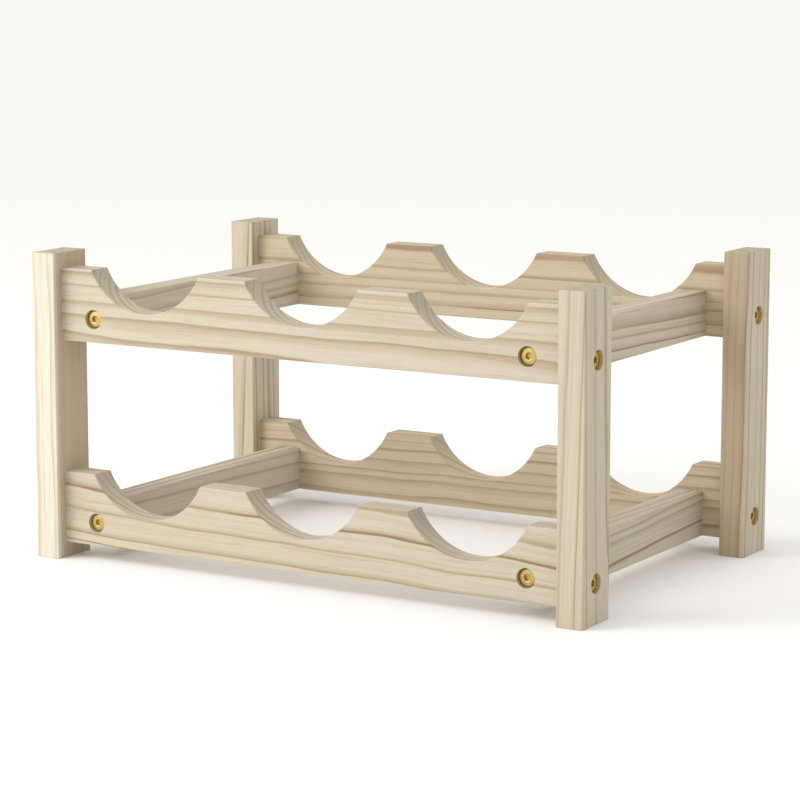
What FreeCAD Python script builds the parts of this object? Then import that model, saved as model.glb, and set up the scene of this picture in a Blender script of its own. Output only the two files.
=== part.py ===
import FreeCAD, Part
import os
import Sketcher

# Pine wine rack for six bottles, in millimetres.
# Four posts carry two tiers. A tier is a front and a rear rail, cut with round cradles for the
# bottles, and two plain side rails between them. Every joint is a butt joint, held by one
# hex-socket screw and kept from turning by one dowel.
# Frame: +X to the right, -Y to the front, +Z up; the origin is on the floor, under the middle.

# Driving sizes: alias, value, meaning.
SIZES = (
    ("rack_width", 400.0, "outside of left posts to outside of right posts"),
    ("rack_depth", 264.0, "front of front posts to back of rear posts"),
    ("rack_height", 200.0, "floor to post tops"),
    ("post_width", 17.5, "post section along X"),
    ("post_depth", 34.5, "post section along Y"),
    ("rail_thickness", 17.5, "cradle rail, along Y"),
    ("rail_height", 47.0, "cradle rail, along Z"),
    ("foot_clearance", 10.0, "floor to the underside of the lower rails"),
    ("top_clearance", 10.0, "top of the upper rails to the post tops"),
    ("side_rail_thickness", 17.5, "side rail, along X"),
    ("side_rail_height", 30.0, "side rail, along Z"),
    ("side_rail_inset", 16.0, "post's inner face to the side rail's outer face"),
    ("cradle_radius", 45.5, "arc cut for a bottle"),
    ("cradle_rise", 19.5, "arc centre above the rail's top edge"),
    ("cradle_land", 24.0, "flat top edge from the post to the first cradle"),
    ("wood_easing", 0.6, "rounding of the long wooden edges"),
    ("head_diameter", 10.8, "screw head"),
    ("head_height", 2.2, "screw head, seat to crown"),
    ("head_rim", 1.7, "straight side of the screw head"),
    ("head_rounding", 0.4, "rounding between the head's crown and its side"),
    ("head_recess", 1.6, "crown of the head below the wood's face"),
    ("head_clearance", 0.8, "counterbore wall to the head"),
    ("shank_diameter", 5.8, "screw shank over its thread"),
    ("shank_clearance", 0.15, "hole wall to the shank"),
    ("thread_pitch", 2.5, "groove to groove"),
    ("thread_depth", 0.7, "depth of a groove"),
    ("thread_crest", 0.5, "shank left between two grooves"),
    ("thread_start", 18.0, "seat to the first groove"),
    ("point_length", 4.0, "tapered end of the shank"),
    ("point_diameter", 3.8, "flat at the tapered end"),
    ("socket_width", 4.0, "hex socket across its flats"),
    ("socket_depth", 2.0, "hex socket below the crown"),
    ("rail_screw_bite", 32.0, "rail screw's length inside the side rail"),
    ("tip_web", 1.5, "wood between a post screw's hole and a rail screw's hole"),
    ("blind_gap", 1.0, "empty end of a blind hole"),
    ("dowel_diameter", 6.0, "dowel"),
    ("dowel_clearance", 0.1, "hole wall to the dowel"),
    ("dowel_face_depth", 10.0, "dowel's length inside the piece whose face it enters"),
    ("dowel_end_depth", 20.0, "dowel's length inside the piece whose end it enters"),
    ("dowel_chamfer", 0.8, "broken edge of a dowel's ends"),
    ("post_dowel_offset", 18.0, "post dowel's axis above the screw's axis"),
    ("side_dowel_offset", 8.5, "side rail dowel's axis above the screw's axis"),
)

CRADLES = 3

# Sizes that follow from the driving ones, as expressions on the sheet "Sizes".
RAIL_LENGTH = "(Sizes.rack_width - 2 * Sizes.post_width)"
POST_X = "(Sizes.rack_width / 2 - Sizes.post_width / 2)"
RAIL_Y = "(Sizes.rack_depth / 2 - Sizes.post_depth / 2)"
SIDE_RAIL_LENGTH = "(Sizes.rack_depth - Sizes.post_depth - Sizes.rail_thickness)"
SIDE_RAIL_X = f"({RAIL_LENGTH} / 2 - Sizes.side_rail_inset - Sizes.side_rail_thickness / 2)"
SCREW_HEIGHT = "(Sizes.side_rail_height / 2)"
LOWER_TIER = "Sizes.foot_clearance"
UPPER_TIER = "(Sizes.rack_height - Sizes.top_clearance - Sizes.rail_height)"
CRADLE_HALF_MOUTH = "sqrt(Sizes.cradle_radius ^ 2 - Sizes.cradle_rise ^ 2)"
CRADLE_PITCH = f"(({RAIL_LENGTH} / 2 - Sizes.cradle_land - {CRADLE_HALF_MOUTH}) * 2 / {CRADLES - 1})"
BORE = "(Sizes.head_height + Sizes.head_recess)"
BORE_DIAMETER = "(Sizes.head_diameter + 2 * Sizes.head_clearance)"
SHANK_HOLE = "(Sizes.shank_diameter + 2 * Sizes.shank_clearance)"
DOWEL_HOLE = "(Sizes.dowel_diameter + 2 * Sizes.dowel_clearance)"
POST_SCREW_BITE = (
    "(Sizes.side_rail_inset + Sizes.side_rail_thickness / 2"
    f" - {SHANK_HOLE} / 2 - Sizes.tip_web - Sizes.blind_gap)"
)
POST_SCREW_LENGTH = f"(Sizes.post_width - {BORE} + {POST_SCREW_BITE})"
RAIL_SCREW_LENGTH = f"(Sizes.rail_thickness - {BORE} + Sizes.rail_screw_bite)"
POST_DOWEL_HEIGHT = f"({SCREW_HEIGHT} + Sizes.post_dowel_offset)"
SIDE_DOWEL_HEIGHT = f"({SCREW_HEIGHT} + Sizes.side_dowel_offset)"

# Sketch geometry indices that FreeCAD gives to the origin and the two axes.
ORIGIN = (-1, 1)
HORIZONTAL_AXIS = -1
VERTICAL_AXIS = -2

# Largest difference in mm that counts as none when edges are told apart.
TOLERANCE = 1e-3

# Property and size of each kind of broken edge.
EDGE_SIZES = {
    "Easing": ("Radius", "Sizes.wood_easing"),
    "HeadRounding": ("Radius", "Sizes.head_rounding"),
    "BrokenEnds": ("Size", "Sizes.dowel_chamfer"),
}

# Turns that bring a fastener's own +Z, its head's side, to face outward along an axis.
FACING = {
    "right": FreeCAD.Rotation(FreeCAD.Vector(0, 1, 0), 90),
    "left": FreeCAD.Rotation(FreeCAD.Vector(0, 1, 0), -90),
    "front": FreeCAD.Rotation(FreeCAD.Vector(1, 0, 0), 90),
    "rear": FreeCAD.Rotation(FreeCAD.Vector(1, 0, 0), -90),
}
UPRIGHT = FreeCAD.Rotation()
TURNED = FreeCAD.Rotation(FreeCAD.Vector(0, 0, 1), 180)

X_SIGN = {"left": "-", "right": ""}
Y_SIGN = {"front": "-", "rear": ""}
TIERS = {"lower": LOWER_TIER, "upper": UPPER_TIER}


def fill_sheet(doc):
    """Write the driving sizes and their aliases into the spreadsheet."""
    sheet = doc.addObject("Spreadsheet::Sheet", "Sizes")
    for row, (alias, value, meaning) in enumerate(SIZES, start=1):
        sheet.set(f"A{row}", alias)
        sheet.set(f"B{row}", str(value))
        sheet.set(f"C{row}", meaning)
        sheet.setAlias(f"B{row}", alias)
    doc.recompute()


def new_body(doc, label):
    """Start one separate piece of the rack."""
    body = doc.addObject("PartDesign::Body", label)
    body.Label = label
    return body


def origin_feature(body, role):
    """Return the body's own origin plane or axis that has this role."""
    return next(item for item in body.Origin.OriginFeatures if item.Role == role)


def new_sketch(body, name, plane, offset=None):
    """Attach a sketch to an origin plane, moved along the plane's normal by an expression."""
    sketch = body.newObject("Sketcher::SketchObject", name)
    sketch.AttachmentSupport = [(origin_feature(body, plane), "")]
    sketch.MapMode = "FlatFace"
    if offset:
        sketch.setExpression("AttachmentOffset.Base.z", offset)
    return sketch


def drive(sketch, name, expression, kind, *geometry):
    """Add a dimension to a sketch and bind it to an expression."""
    index = sketch.addConstraint(Sketcher.Constraint(kind, *geometry, 1.0))
    sketch.renameConstraint(index, name)
    sketch.setExpression(f"Constraints.{name}", expression)


def add_polygon(sketch, points):
    """Add closed straight lines through the points and return their indices."""
    corners = [FreeCAD.Vector(x, y, 0) for x, y in points]
    ends = corners[1:] + corners[:1]
    lines = [sketch.addGeometry(Part.LineSegment(a, b), False) for a, b in zip(corners, ends)]
    for line, after in zip(lines, lines[1:] + lines[:1]):
        sketch.addConstraint(Sketcher.Constraint("Coincident", line, 2, after, 1))
    return lines


def add_rectangle(sketch, width, height, centred):
    """Add a rectangle about the origin, or standing on it with its lower edge's middle."""
    base, right, top, left = add_polygon(sketch, ((-1, -1), (1, -1), (1, 1), (-1, 1)))
    for line in (base, top):
        sketch.addConstraint(Sketcher.Constraint("Horizontal", line))
    for line in (right, left):
        sketch.addConstraint(Sketcher.Constraint("Vertical", line))
    drive(sketch, "width", width, "DistanceX", base, 1, base, 2)
    drive(sketch, "height", height, "DistanceY", right, 1, right, 2)
    opposite = (right, 2) if centred else (base, 2)
    sketch.addConstraint(Sketcher.Constraint("Symmetric", base, 1, *opposite, *ORIGIN))


def add_circle(sketch, name, diameter, x=None, y=None):
    """Add a circle whose centre is given by expressions; None keeps it on that axis."""
    circle = sketch.addGeometry(
        Part.Circle(FreeCAD.Vector(1, 1, 0), FreeCAD.Vector(0, 0, 1), 1), False
    )
    drive(sketch, f"{name}_diameter", diameter, "Diameter", circle)
    for axis, kind, value in ((VERTICAL_AXIS, "DistanceX", x), (HORIZONTAL_AXIS, "DistanceY", y)):
        if value is None:
            sketch.addConstraint(Sketcher.Constraint("PointOnObject", circle, 3, axis))
        else:
            drive(sketch, f"{name}_{kind[-1].lower()}", value, kind, *ORIGIN, circle, 3)


def pad(body, name, sketch, length, symmetric=False):
    """Extrude a sketch into the body, to one side of it or equally to both."""
    feature = body.newObject("PartDesign::Pad", name)
    feature.Profile = sketch
    feature.SideType = "Symmetric" if symmetric else "One side"
    feature.setExpression("Length", length)
    return feature


def pocket(body, name, sketch, depth, reversed_cut=False, symmetric=False):
    """Cut a sketch out of the body; an unreversed cut goes against the sketch's normal."""
    feature = body.newObject("PartDesign::Pocket", name)
    feature.Profile = sketch
    feature.Type = "Length"
    feature.SideType = "Symmetric" if symmetric else "One side"
    feature.Reversed = reversed_cut
    feature.setExpression("Length", depth)
    return feature


def mirror(body, name, plane, originals):
    """Repeat features on the other side of an origin plane."""
    feature = body.newObject("PartDesign::Mirrored", name)
    feature.Originals = originals
    feature.MirrorPlane = (origin_feature(body, plane), [""])
    body.Tip = feature
    return feature


def add_edge_feature(body, kind, name, base, chosen):
    """Fillet or chamfer the edges of the base feature that the test function accepts."""
    body.Document.recompute()
    edges = [
        f"Edge{number}"
        for number, edge in enumerate(base.Shape.Edges, start=1)
        if chosen(edge)
    ]
    feature = body.newObject(f"PartDesign::{kind}", name)
    feature.Base = (base, edges)
    feature.setExpression(*EDGE_SIZES[name])
    return feature


def screw_hole(body, name, sketch):
    """Drill right through from the sketch, with a counterbore for the screw's head."""
    body.Document.recompute()
    feature = body.newObject("PartDesign::Hole", name)
    feature.Profile = sketch
    feature.ThreadType = "None"
    feature.DepthType = "ThroughAll"
    feature.HoleCutType = "Counterbore"
    feature.HoleCutCustomValues = True
    feature.setExpression("Diameter", SHANK_HOLE)
    feature.setExpression("HoleCutDiameter", BORE_DIAMETER)
    feature.setExpression("HoleCutDepth", BORE)
    return feature


def place(body, rotation, x, y, z):
    """Turn a piece and bind its position to expressions."""
    body.Placement = FreeCAD.Placement(FreeCAD.Vector(), rotation)
    for axis, expression in zip("xyz", (x, y, z)):
        body.setExpression(f"Placement.Base.{axis}", expression)


def make_post(doc, label):
    """Post about its own vertical centre line; its outer side face looks along +X."""
    body = new_body(doc, label)
    section = new_sketch(body, "Section", "XY_Plane")
    add_rectangle(section, "Sizes.post_width", "Sizes.post_depth", centred=True)
    blank = pad(body, "Blank", section, "Sizes.rack_height")
    add_edge_feature(body, "Fillet", "Easing", blank, lambda edge: True)

    screws = new_sketch(body, "ScrewCentres", "YZ_Plane", "Sizes.post_width / 2")
    dowels = new_sketch(body, "DowelCentres", "YZ_Plane", "-Sizes.post_width / 2")
    for tier, height in TIERS.items():
        add_circle(screws, f"{tier}_screw", SHANK_HOLE, y=f"{height} + {SCREW_HEIGHT}")
        add_circle(dowels, f"{tier}_dowel", DOWEL_HOLE, y=f"{height} + {POST_DOWEL_HEIGHT}")
    screw_hole(body, "ScrewHoles", screws)
    pocket(body, "DowelHoles", dowels, "Sizes.dowel_face_depth + Sizes.blind_gap", reversed_cut=True)
    return body


def make_cradle_rail(doc, label):
    """Cradle rail standing on its own XY plane; its outer face looks along -Y."""
    body = new_body(doc, label)
    outline = new_sketch(body, "Outline", "XZ_Plane")
    add_rectangle(outline, RAIL_LENGTH, "Sizes.rail_height", centred=False)
    pad(body, "Blank", outline, "Sizes.rail_thickness", symmetric=True)

    arc = new_sketch(body, "CradleArc", "XZ_Plane")
    first = f"-{CRADLE_PITCH} * {(CRADLES - 1) / 2}"
    add_circle(arc, "cradle", "2 * Sizes.cradle_radius", first, "Sizes.rail_height + Sizes.cradle_rise")
    cradle = pocket(body, "Cradle", arc, "2 * Sizes.rail_thickness", symmetric=True)
    row = body.newObject("PartDesign::LinearPattern", "CradleRow")
    row.Originals = [cradle]
    row.Direction = (origin_feature(body, "X_Axis"), [""])
    row.Occurrences = CRADLES
    row.setExpression("Length", f"{CRADLE_PITCH} * {CRADLES - 1}")
    body.Tip = row
    add_edge_feature(body, "Fillet", "Easing", row, lies_across_rail)

    screws = new_sketch(body, "ScrewCentres", "XZ_Plane", "Sizes.rail_thickness / 2")
    add_circle(screws, "right_screw", SHANK_HOLE, SIDE_RAIL_X, SCREW_HEIGHT)
    add_circle(screws, "left_screw", SHANK_HOLE, f"-{SIDE_RAIL_X}", SCREW_HEIGHT)
    screw_hole(body, "ScrewHoles", screws)

    side_dowel = new_sketch(body, "SideDowelCentre", "XZ_Plane", "-Sizes.rail_thickness / 2")
    add_circle(side_dowel, "side_dowel", DOWEL_HOLE, SIDE_RAIL_X, SIDE_DOWEL_HEIGHT)
    face_depth = "Sizes.dowel_face_depth + Sizes.blind_gap"
    right = [pocket(body, "SideDowelHole", side_dowel, face_depth, reversed_cut=True)]

    end_screw = new_sketch(body, "EndScrewCentre", "YZ_Plane", f"{RAIL_LENGTH} / 2")
    add_circle(end_screw, "end_screw", SHANK_HOLE, y=SCREW_HEIGHT)
    right.append(pocket(body, "EndScrewHole", end_screw, f"{POST_SCREW_BITE} + Sizes.blind_gap"))

    end_dowel = new_sketch(body, "EndDowelCentre", "YZ_Plane", f"{RAIL_LENGTH} / 2")
    add_circle(end_dowel, "end_dowel", DOWEL_HOLE, y=POST_DOWEL_HEIGHT)
    right.append(pocket(body, "EndDowelHole", end_dowel, "Sizes.dowel_end_depth + Sizes.blind_gap"))
    mirror(body, "LeftEnd", "YZ_Plane", right)
    return body


def lies_across_rail(edge):
    """Accept an edge in the rail's front or back face, other than the upright ends."""
    box = edge.BoundBox
    flat = box.YLength < TOLERANCE
    upright = box.XLength < TOLERANCE
    return flat and not upright


def runs_along_side_rail(edge):
    """Accept one of a side rail's four long edges."""
    box = edge.BoundBox
    return box.YLength > max(box.XLength, box.ZLength)


def make_side_rail(doc, label):
    """Side rail along its own Y axis, standing on its own XY plane."""
    body = new_body(doc, label)
    section = new_sketch(body, "Section", "XZ_Plane")
    add_rectangle(section, "Sizes.side_rail_thickness", "Sizes.side_rail_height", centred=False)
    blank = pad(body, "Blank", section, SIDE_RAIL_LENGTH, symmetric=True)
    add_edge_feature(body, "Fillet", "Easing", blank, runs_along_side_rail)

    screw = new_sketch(body, "ScrewCentre", "XZ_Plane", f"{SIDE_RAIL_LENGTH} / 2")
    add_circle(screw, "screw", SHANK_HOLE, y=SCREW_HEIGHT)
    front = [pocket(body, "ScrewHole", screw, "Sizes.rail_screw_bite + Sizes.blind_gap")]

    dowel = new_sketch(body, "DowelCentre", "XZ_Plane", f"{SIDE_RAIL_LENGTH} / 2")
    add_circle(dowel, "dowel", DOWEL_HOLE, y=SIDE_DOWEL_HEIGHT)
    front.append(pocket(body, "DowelHole", dowel, "Sizes.dowel_end_depth + Sizes.blind_gap"))
    mirror(body, "RearEnd", "XZ_Plane", front)
    return body


def add_screw_profile(sketch, length):
    """Draw half of a screw's section, its axis on the sketch's y axis and its seat on y = 0."""
    steps = ((6, 1), (6, 0), (3, 0), (3, -30), (2, -34), (0, -34), (0, 2))
    points = [FreeCAD.Vector(x, y, 0) for x, y in steps]
    names = ("rim", "seat", "shank", "point", "tip", "axis")
    line = {
        name: sketch.addGeometry(Part.LineSegment(start, end), False)
        for name, start, end in zip(names, points, points[1:])
    }
    crown_circle = Part.Circle(FreeCAD.Vector(0, -15, 0), FreeCAD.Vector(0, 0, 1), 17)
    crown = sketch.addGeometry(Part.ArcOfCircle(crown_circle, 1.2, 1.57), False)
    loop = [line[name] for name in names]
    for before, after in zip(loop, loop[1:]):
        sketch.addConstraint(Sketcher.Constraint("Coincident", before, 2, after, 1))
    sketch.addConstraint(Sketcher.Constraint("Coincident", line["axis"], 2, crown, 2))
    sketch.addConstraint(Sketcher.Constraint("Coincident", crown, 1, line["rim"], 1))
    for name in ("rim", "shank"):
        sketch.addConstraint(Sketcher.Constraint("Vertical", line[name]))
    sketch.addConstraint(Sketcher.Constraint("Horizontal", line["tip"]))
    sketch.addConstraint(Sketcher.Constraint("PointOnObject", line["seat"], 1, HORIZONTAL_AXIS))
    sketch.addConstraint(Sketcher.Constraint("PointOnObject", line["seat"], 2, HORIZONTAL_AXIS))
    sketch.addConstraint(Sketcher.Constraint("PointOnObject", line["axis"], 1, VERTICAL_AXIS))
    sketch.addConstraint(Sketcher.Constraint("PointOnObject", line["axis"], 2, VERTICAL_AXIS))
    sketch.addConstraint(Sketcher.Constraint("PointOnObject", crown, 3, VERTICAL_AXIS))
    drive(sketch, "head_radius", "Sizes.head_diameter / 2", "DistanceX", *ORIGIN, line["seat"], 1)
    drive(sketch, "head_rim", "Sizes.head_rim", "DistanceY", line["rim"], 2, line["rim"], 1)
    drive(sketch, "head_height", "Sizes.head_height", "DistanceY", *ORIGIN, crown, 2)
    drive(sketch, "shank_radius", "Sizes.shank_diameter / 2", "DistanceX", *ORIGIN, line["shank"], 1)
    drive(sketch, "tip_radius", "Sizes.point_diameter / 2", "DistanceX", *ORIGIN, line["tip"], 1)
    drive(sketch, "point", "Sizes.point_length", "DistanceY", line["point"], 2, line["point"], 1)
    drive(sketch, "length", length, "DistanceY", line["tip"], 2, *ORIGIN)


def add_groove_profile(sketch):
    """Draw the V of the first thread groove, twice as large as the groove to reach past the shank."""
    upper, outside, lower = add_polygon(sketch, ((2.2, -19), (4, -17.5), (4, -20.5)))
    sketch.addConstraint(Sketcher.Constraint("Vertical", outside))
    sketch.addConstraint(Sketcher.Constraint("Equal", upper, lower))
    root = "Sizes.shank_diameter / 2 - Sizes.thread_depth"
    mouth = "2 * (Sizes.thread_pitch - Sizes.thread_crest)"
    drive(sketch, "root", root, "DistanceX", *ORIGIN, upper, 1)
    drive(sketch, "reach", "2 * Sizes.thread_depth", "DistanceX", upper, 1, upper, 2)
    drive(sketch, "mouth", mouth, "DistanceY", outside, 2, outside, 1)
    drive(sketch, "start", "Sizes.thread_start", "DistanceY", upper, 1, *ORIGIN)


def revolve(body, kind, name, sketch):
    """Turn a sketch a full circle about the body's Z axis, adding or cutting."""
    feature = body.newObject(f"PartDesign::{kind}", name)
    feature.Profile = sketch
    feature.ReferenceAxis = (origin_feature(body, "Z_Axis"), [""])
    feature.Angle = 360
    return feature


def add_hexagon(sketch, across_flats):
    """Draw a regular hexagon about the origin, with two flats along x."""
    points = ((2, 0), (1, 2), (-1, 2), (-2, 0), (-1, -2), (1, -2))
    sides = add_polygon(sketch, points)
    circle = sketch.addGeometry(
        Part.Circle(FreeCAD.Vector(0, 0, 0), FreeCAD.Vector(0, 0, 1), 2), True
    )
    sketch.addConstraint(Sketcher.Constraint("Coincident", circle, 3, *ORIGIN))
    for side in sides:
        sketch.addConstraint(Sketcher.Constraint("PointOnObject", side, 1, circle))
    for side in sides[1:]:
        sketch.addConstraint(Sketcher.Constraint("Equal", sides[0], side))
    sketch.addConstraint(Sketcher.Constraint("Horizontal", sides[1]))
    drive(sketch, "corners", f"2 * {across_flats} / sqrt(3)", "Diameter", circle)


def lies_on_crown_rim(edge):
    """Accept the circle where a screw head's straight side meets its crown."""
    box = edge.BoundBox
    sheet = FreeCAD.ActiveDocument.getObject("Sizes")
    level = abs(box.ZMin - sheet.head_rim) < TOLERANCE and box.ZLength < TOLERANCE
    return level and abs(box.XLength - sheet.head_diameter) < TOLERANCE


def make_screw(doc, label, length):
    """Hex-socket screw along its own Z axis: seat at z = 0, head above, shank below."""
    body = new_body(doc, label)
    profile = new_sketch(body, "Profile", "XZ_Plane")
    add_screw_profile(profile, length)
    turned = revolve(body, "Revolution", "Turned", profile)
    add_edge_feature(body, "Fillet", "HeadRounding", turned, lies_on_crown_rim)

    socket = new_sketch(body, "Socket", "XY_Plane", "Sizes.head_height")
    add_hexagon(socket, "Sizes.socket_width")
    pocket(body, "HexSocket", socket, "Sizes.socket_depth")

    thread = new_sketch(body, "ThreadGroove", "XZ_Plane")
    add_groove_profile(thread)
    groove = revolve(body, "Groove", "Thread", thread)
    threaded = f"({length} - Sizes.point_length - Sizes.thread_start)"
    grooves = f"floor({threaded} / Sizes.thread_pitch)"
    run = body.newObject("PartDesign::LinearPattern", "ThreadRun")
    run.Originals = [groove]
    run.Direction = (origin_feature(body, "Z_Axis"), [""])
    run.Reversed = True
    run.setExpression("Occurrences", grooves)
    run.setExpression("Length", f"({grooves} - 1) * Sizes.thread_pitch")
    body.Tip = run
    return body


def lies_across_dowel(edge):
    """Accept the circle round either end of a dowel."""
    return edge.BoundBox.ZLength < TOLERANCE


def make_dowel(doc, label):
    """Dowel along its own Z axis, crossing the joint at z = 0; its longer part is below."""
    body = new_body(doc, label)
    section = new_sketch(body, "Section", "XY_Plane", "-Sizes.dowel_end_depth")
    add_circle(section, "dowel", "Sizes.dowel_diameter")
    blank = pad(body, "Blank", section, "Sizes.dowel_end_depth + Sizes.dowel_face_depth")
    add_edge_feature(body, "Chamfer", "BrokenEnds", blank, lies_across_dowel)
    return body


def make_posts(doc):
    """Four posts; the left pair is the right pair turned round."""
    bodies = []
    for depth_side, y_sign in Y_SIGN.items():
        for side, x_sign in X_SIGN.items():
            post = make_post(doc, f"post_{depth_side}_{side}")
            turn = UPRIGHT if side == "right" else TURNED
            place(post, turn, f"{x_sign}{POST_X}", f"{y_sign}{RAIL_Y}", "0")
            bodies.append(post)
    return bodies


def make_rails(doc, tier, height):
    """The front, rear, left and right rail of one tier."""
    bodies = []
    for depth_side, y_sign in Y_SIGN.items():
        rail = make_cradle_rail(doc, f"{tier}_{depth_side}_rail")
        turn = UPRIGHT if depth_side == "front" else TURNED
        place(rail, turn, "0", f"{y_sign}{RAIL_Y}", height)
        bodies.append(rail)
    for side, x_sign in X_SIGN.items():
        rail = make_side_rail(doc, f"{tier}_{side}_side_rail")
        place(rail, UPRIGHT, f"{x_sign}{SIDE_RAIL_X}", "0", height)
        bodies.append(rail)
    return bodies


def make_joint(doc, name, facing, screw, dowel):
    """One joint's screw and dowel, whose outer ends face the same way.

    screw holds the screw's length and the x, y and z of its seat; dowel holds the x, y and z
    of the point where the dowel crosses the joint.
    """
    kind, corner = name
    length, *seat = screw
    screw_body = make_screw(doc, f"{kind}_screw_{corner}", length)
    dowel_body = make_dowel(doc, f"{kind}_dowel_{corner}")
    place(screw_body, FACING[facing], *seat)
    place(dowel_body, FACING[facing], *dowel)
    return [screw_body, dowel_body]


def make_fasteners(doc, tier, height):
    """Screws and dowels of one tier's eight joints, a post joint and a rail joint at each corner."""
    post_seat = f"(Sizes.rack_width / 2 - {BORE})"
    rail_seat = f"({RAIL_Y} + Sizes.rail_thickness / 2 - {BORE})"
    screw_z = f"{height} + {SCREW_HEIGHT}"
    bodies = []
    for depth_side, back in Y_SIGN.items():
        for side, across in X_SIGN.items():
            corner = f"{tier}_{depth_side}_{side}"
            rail_y = f"{back}{RAIL_Y}"
            side_rail_x = f"{across}{SIDE_RAIL_X}"
            bodies += make_joint(
                doc,
                ("post", corner),
                side,
                (POST_SCREW_LENGTH, f"{across}{post_seat}", rail_y, screw_z),
                (f"{across}{RAIL_LENGTH} / 2", rail_y, f"{height} + {POST_DOWEL_HEIGHT}"),
            )
            bodies += make_joint(
                doc,
                ("rail", corner),
                depth_side,
                (RAIL_SCREW_LENGTH, side_rail_x, f"{back}{rail_seat}", screw_z),
                (side_rail_x, f"{back}{SIDE_RAIL_LENGTH} / 2", f"{height} + {SIDE_DOWEL_HEIGHT}"),
            )
    return bodies


REMOVERS = tuple(f"PartDesign::{kind}" for kind in ("Pocket", "Hole", "Groove", "Fillet", "Chamfer"))


def check(doc, bodies):
    """Stop if a feature failed, a cut removed nothing or a piece isn't one valid solid."""
    for item in doc.Objects:
        if {"Invalid", "Error"} & set(item.State):
            raise RuntimeError(f"{item.Label} failed: {item.State}")
    for body in bodies:
        features = [item for item in body.Group if item.isDerivedFrom("PartDesign::Feature")]
        for before, after in zip(features, features[1:]):
            if after.TypeId in REMOVERS and after.Shape.Volume >= before.Shape.Volume:
                raise RuntimeError(f"{after.Label} in {body.Label} removes nothing")
        shape = body.Shape
        if shape.isNull() or not shape.isValid() or len(shape.Solids) != 1:
            raise RuntimeError(f"{body.Label} is not one valid solid")


def main():
    """Build the rack, check it and write one STEP file for each piece."""
    doc = FreeCAD.newDocument("WineRack")
    fill_sheet(doc)
    bodies = make_posts(doc)
    for tier, height in TIERS.items():
        bodies += make_rails(doc, tier, height)
        bodies += make_fasteners(doc, tier, height)
    doc.recompute()
    check(doc, bodies)
    os.makedirs("parts", exist_ok=True)
    for body in bodies:
        body.Shape.exportStep(f"parts/{body.Label}.step")
    print(len(bodies), "pieces written")


main()
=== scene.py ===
"""Pine wine rack for six bottles: finishes, screws and studio, in metres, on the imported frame."""

import logging
import math
from dataclasses import dataclass, field, fields
from enum import Enum
from typing import Any

import bpy
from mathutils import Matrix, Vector


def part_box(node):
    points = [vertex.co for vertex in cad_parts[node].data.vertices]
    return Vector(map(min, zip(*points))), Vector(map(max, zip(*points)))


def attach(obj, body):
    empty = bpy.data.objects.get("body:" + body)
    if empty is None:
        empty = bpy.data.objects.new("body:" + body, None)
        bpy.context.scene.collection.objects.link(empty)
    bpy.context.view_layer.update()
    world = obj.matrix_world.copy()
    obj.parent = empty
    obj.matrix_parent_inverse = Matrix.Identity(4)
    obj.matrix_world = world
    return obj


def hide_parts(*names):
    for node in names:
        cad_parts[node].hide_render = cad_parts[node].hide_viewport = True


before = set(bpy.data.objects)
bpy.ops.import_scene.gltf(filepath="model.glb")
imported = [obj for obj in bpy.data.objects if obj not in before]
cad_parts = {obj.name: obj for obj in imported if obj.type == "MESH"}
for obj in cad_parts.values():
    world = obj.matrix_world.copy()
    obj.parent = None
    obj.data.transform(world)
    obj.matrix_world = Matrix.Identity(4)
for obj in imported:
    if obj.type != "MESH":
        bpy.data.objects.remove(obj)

LOG = logging.getLogger("wine_rack")
MM = 0.001
JOIN = 1e-6
MOUTH_TURN = 3.75  # degrees, half a face of the lead-in
SOCKET_TURN = 1.9  # degrees

Colour = tuple[float, float, float]


class Axis(Enum):
    """Direction of a board's grain in the rack's frame."""

    ACROSS = 0
    DEEP = 1
    UPRIGHT = 2

    def cross_axes(self) -> tuple[int, int]:
        """Return the indices of the two directions across the grain."""
        return tuple(index for index in range(3) if index != self.value)


class Joint(Enum):
    """Kind of joint: a rail's end against a post, or a side rail's end against a cradle rail."""

    POST = "post"
    RAIL = "rail"

    @property
    def axis(self) -> Axis:
        """Return the direction that the joint's screws and dowels lie in."""
        return Axis.ACROSS if self is Joint.POST else Axis.DEEP

    def corners(self) -> list[tuple[str, str, str]]:
        """Return the eight corners of the rack as tier, depth and side."""
        return [
            (tier, depth, side)
            for tier in ("lower", "upper")
            for depth in ("front", "rear")
            for side in ("left", "right")
        ]

    def screws(self) -> dict[str, str]:
        """Return each screw of this kind with the board that its head is sunk in."""
        return {
            f"{self.value}_screw_{tier}_{depth}_{side}":
                f"post_{depth}_{side}" if self is Joint.POST else f"{tier}_{depth}_rail"
            for tier, depth, side in self.corners()
        }

    def dowels(self) -> list[str]:
        """Return the dowels of this kind."""
        return [f"{self.value}_dowel_{'_'.join(corner)}" for corner in self.corners()]


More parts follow.
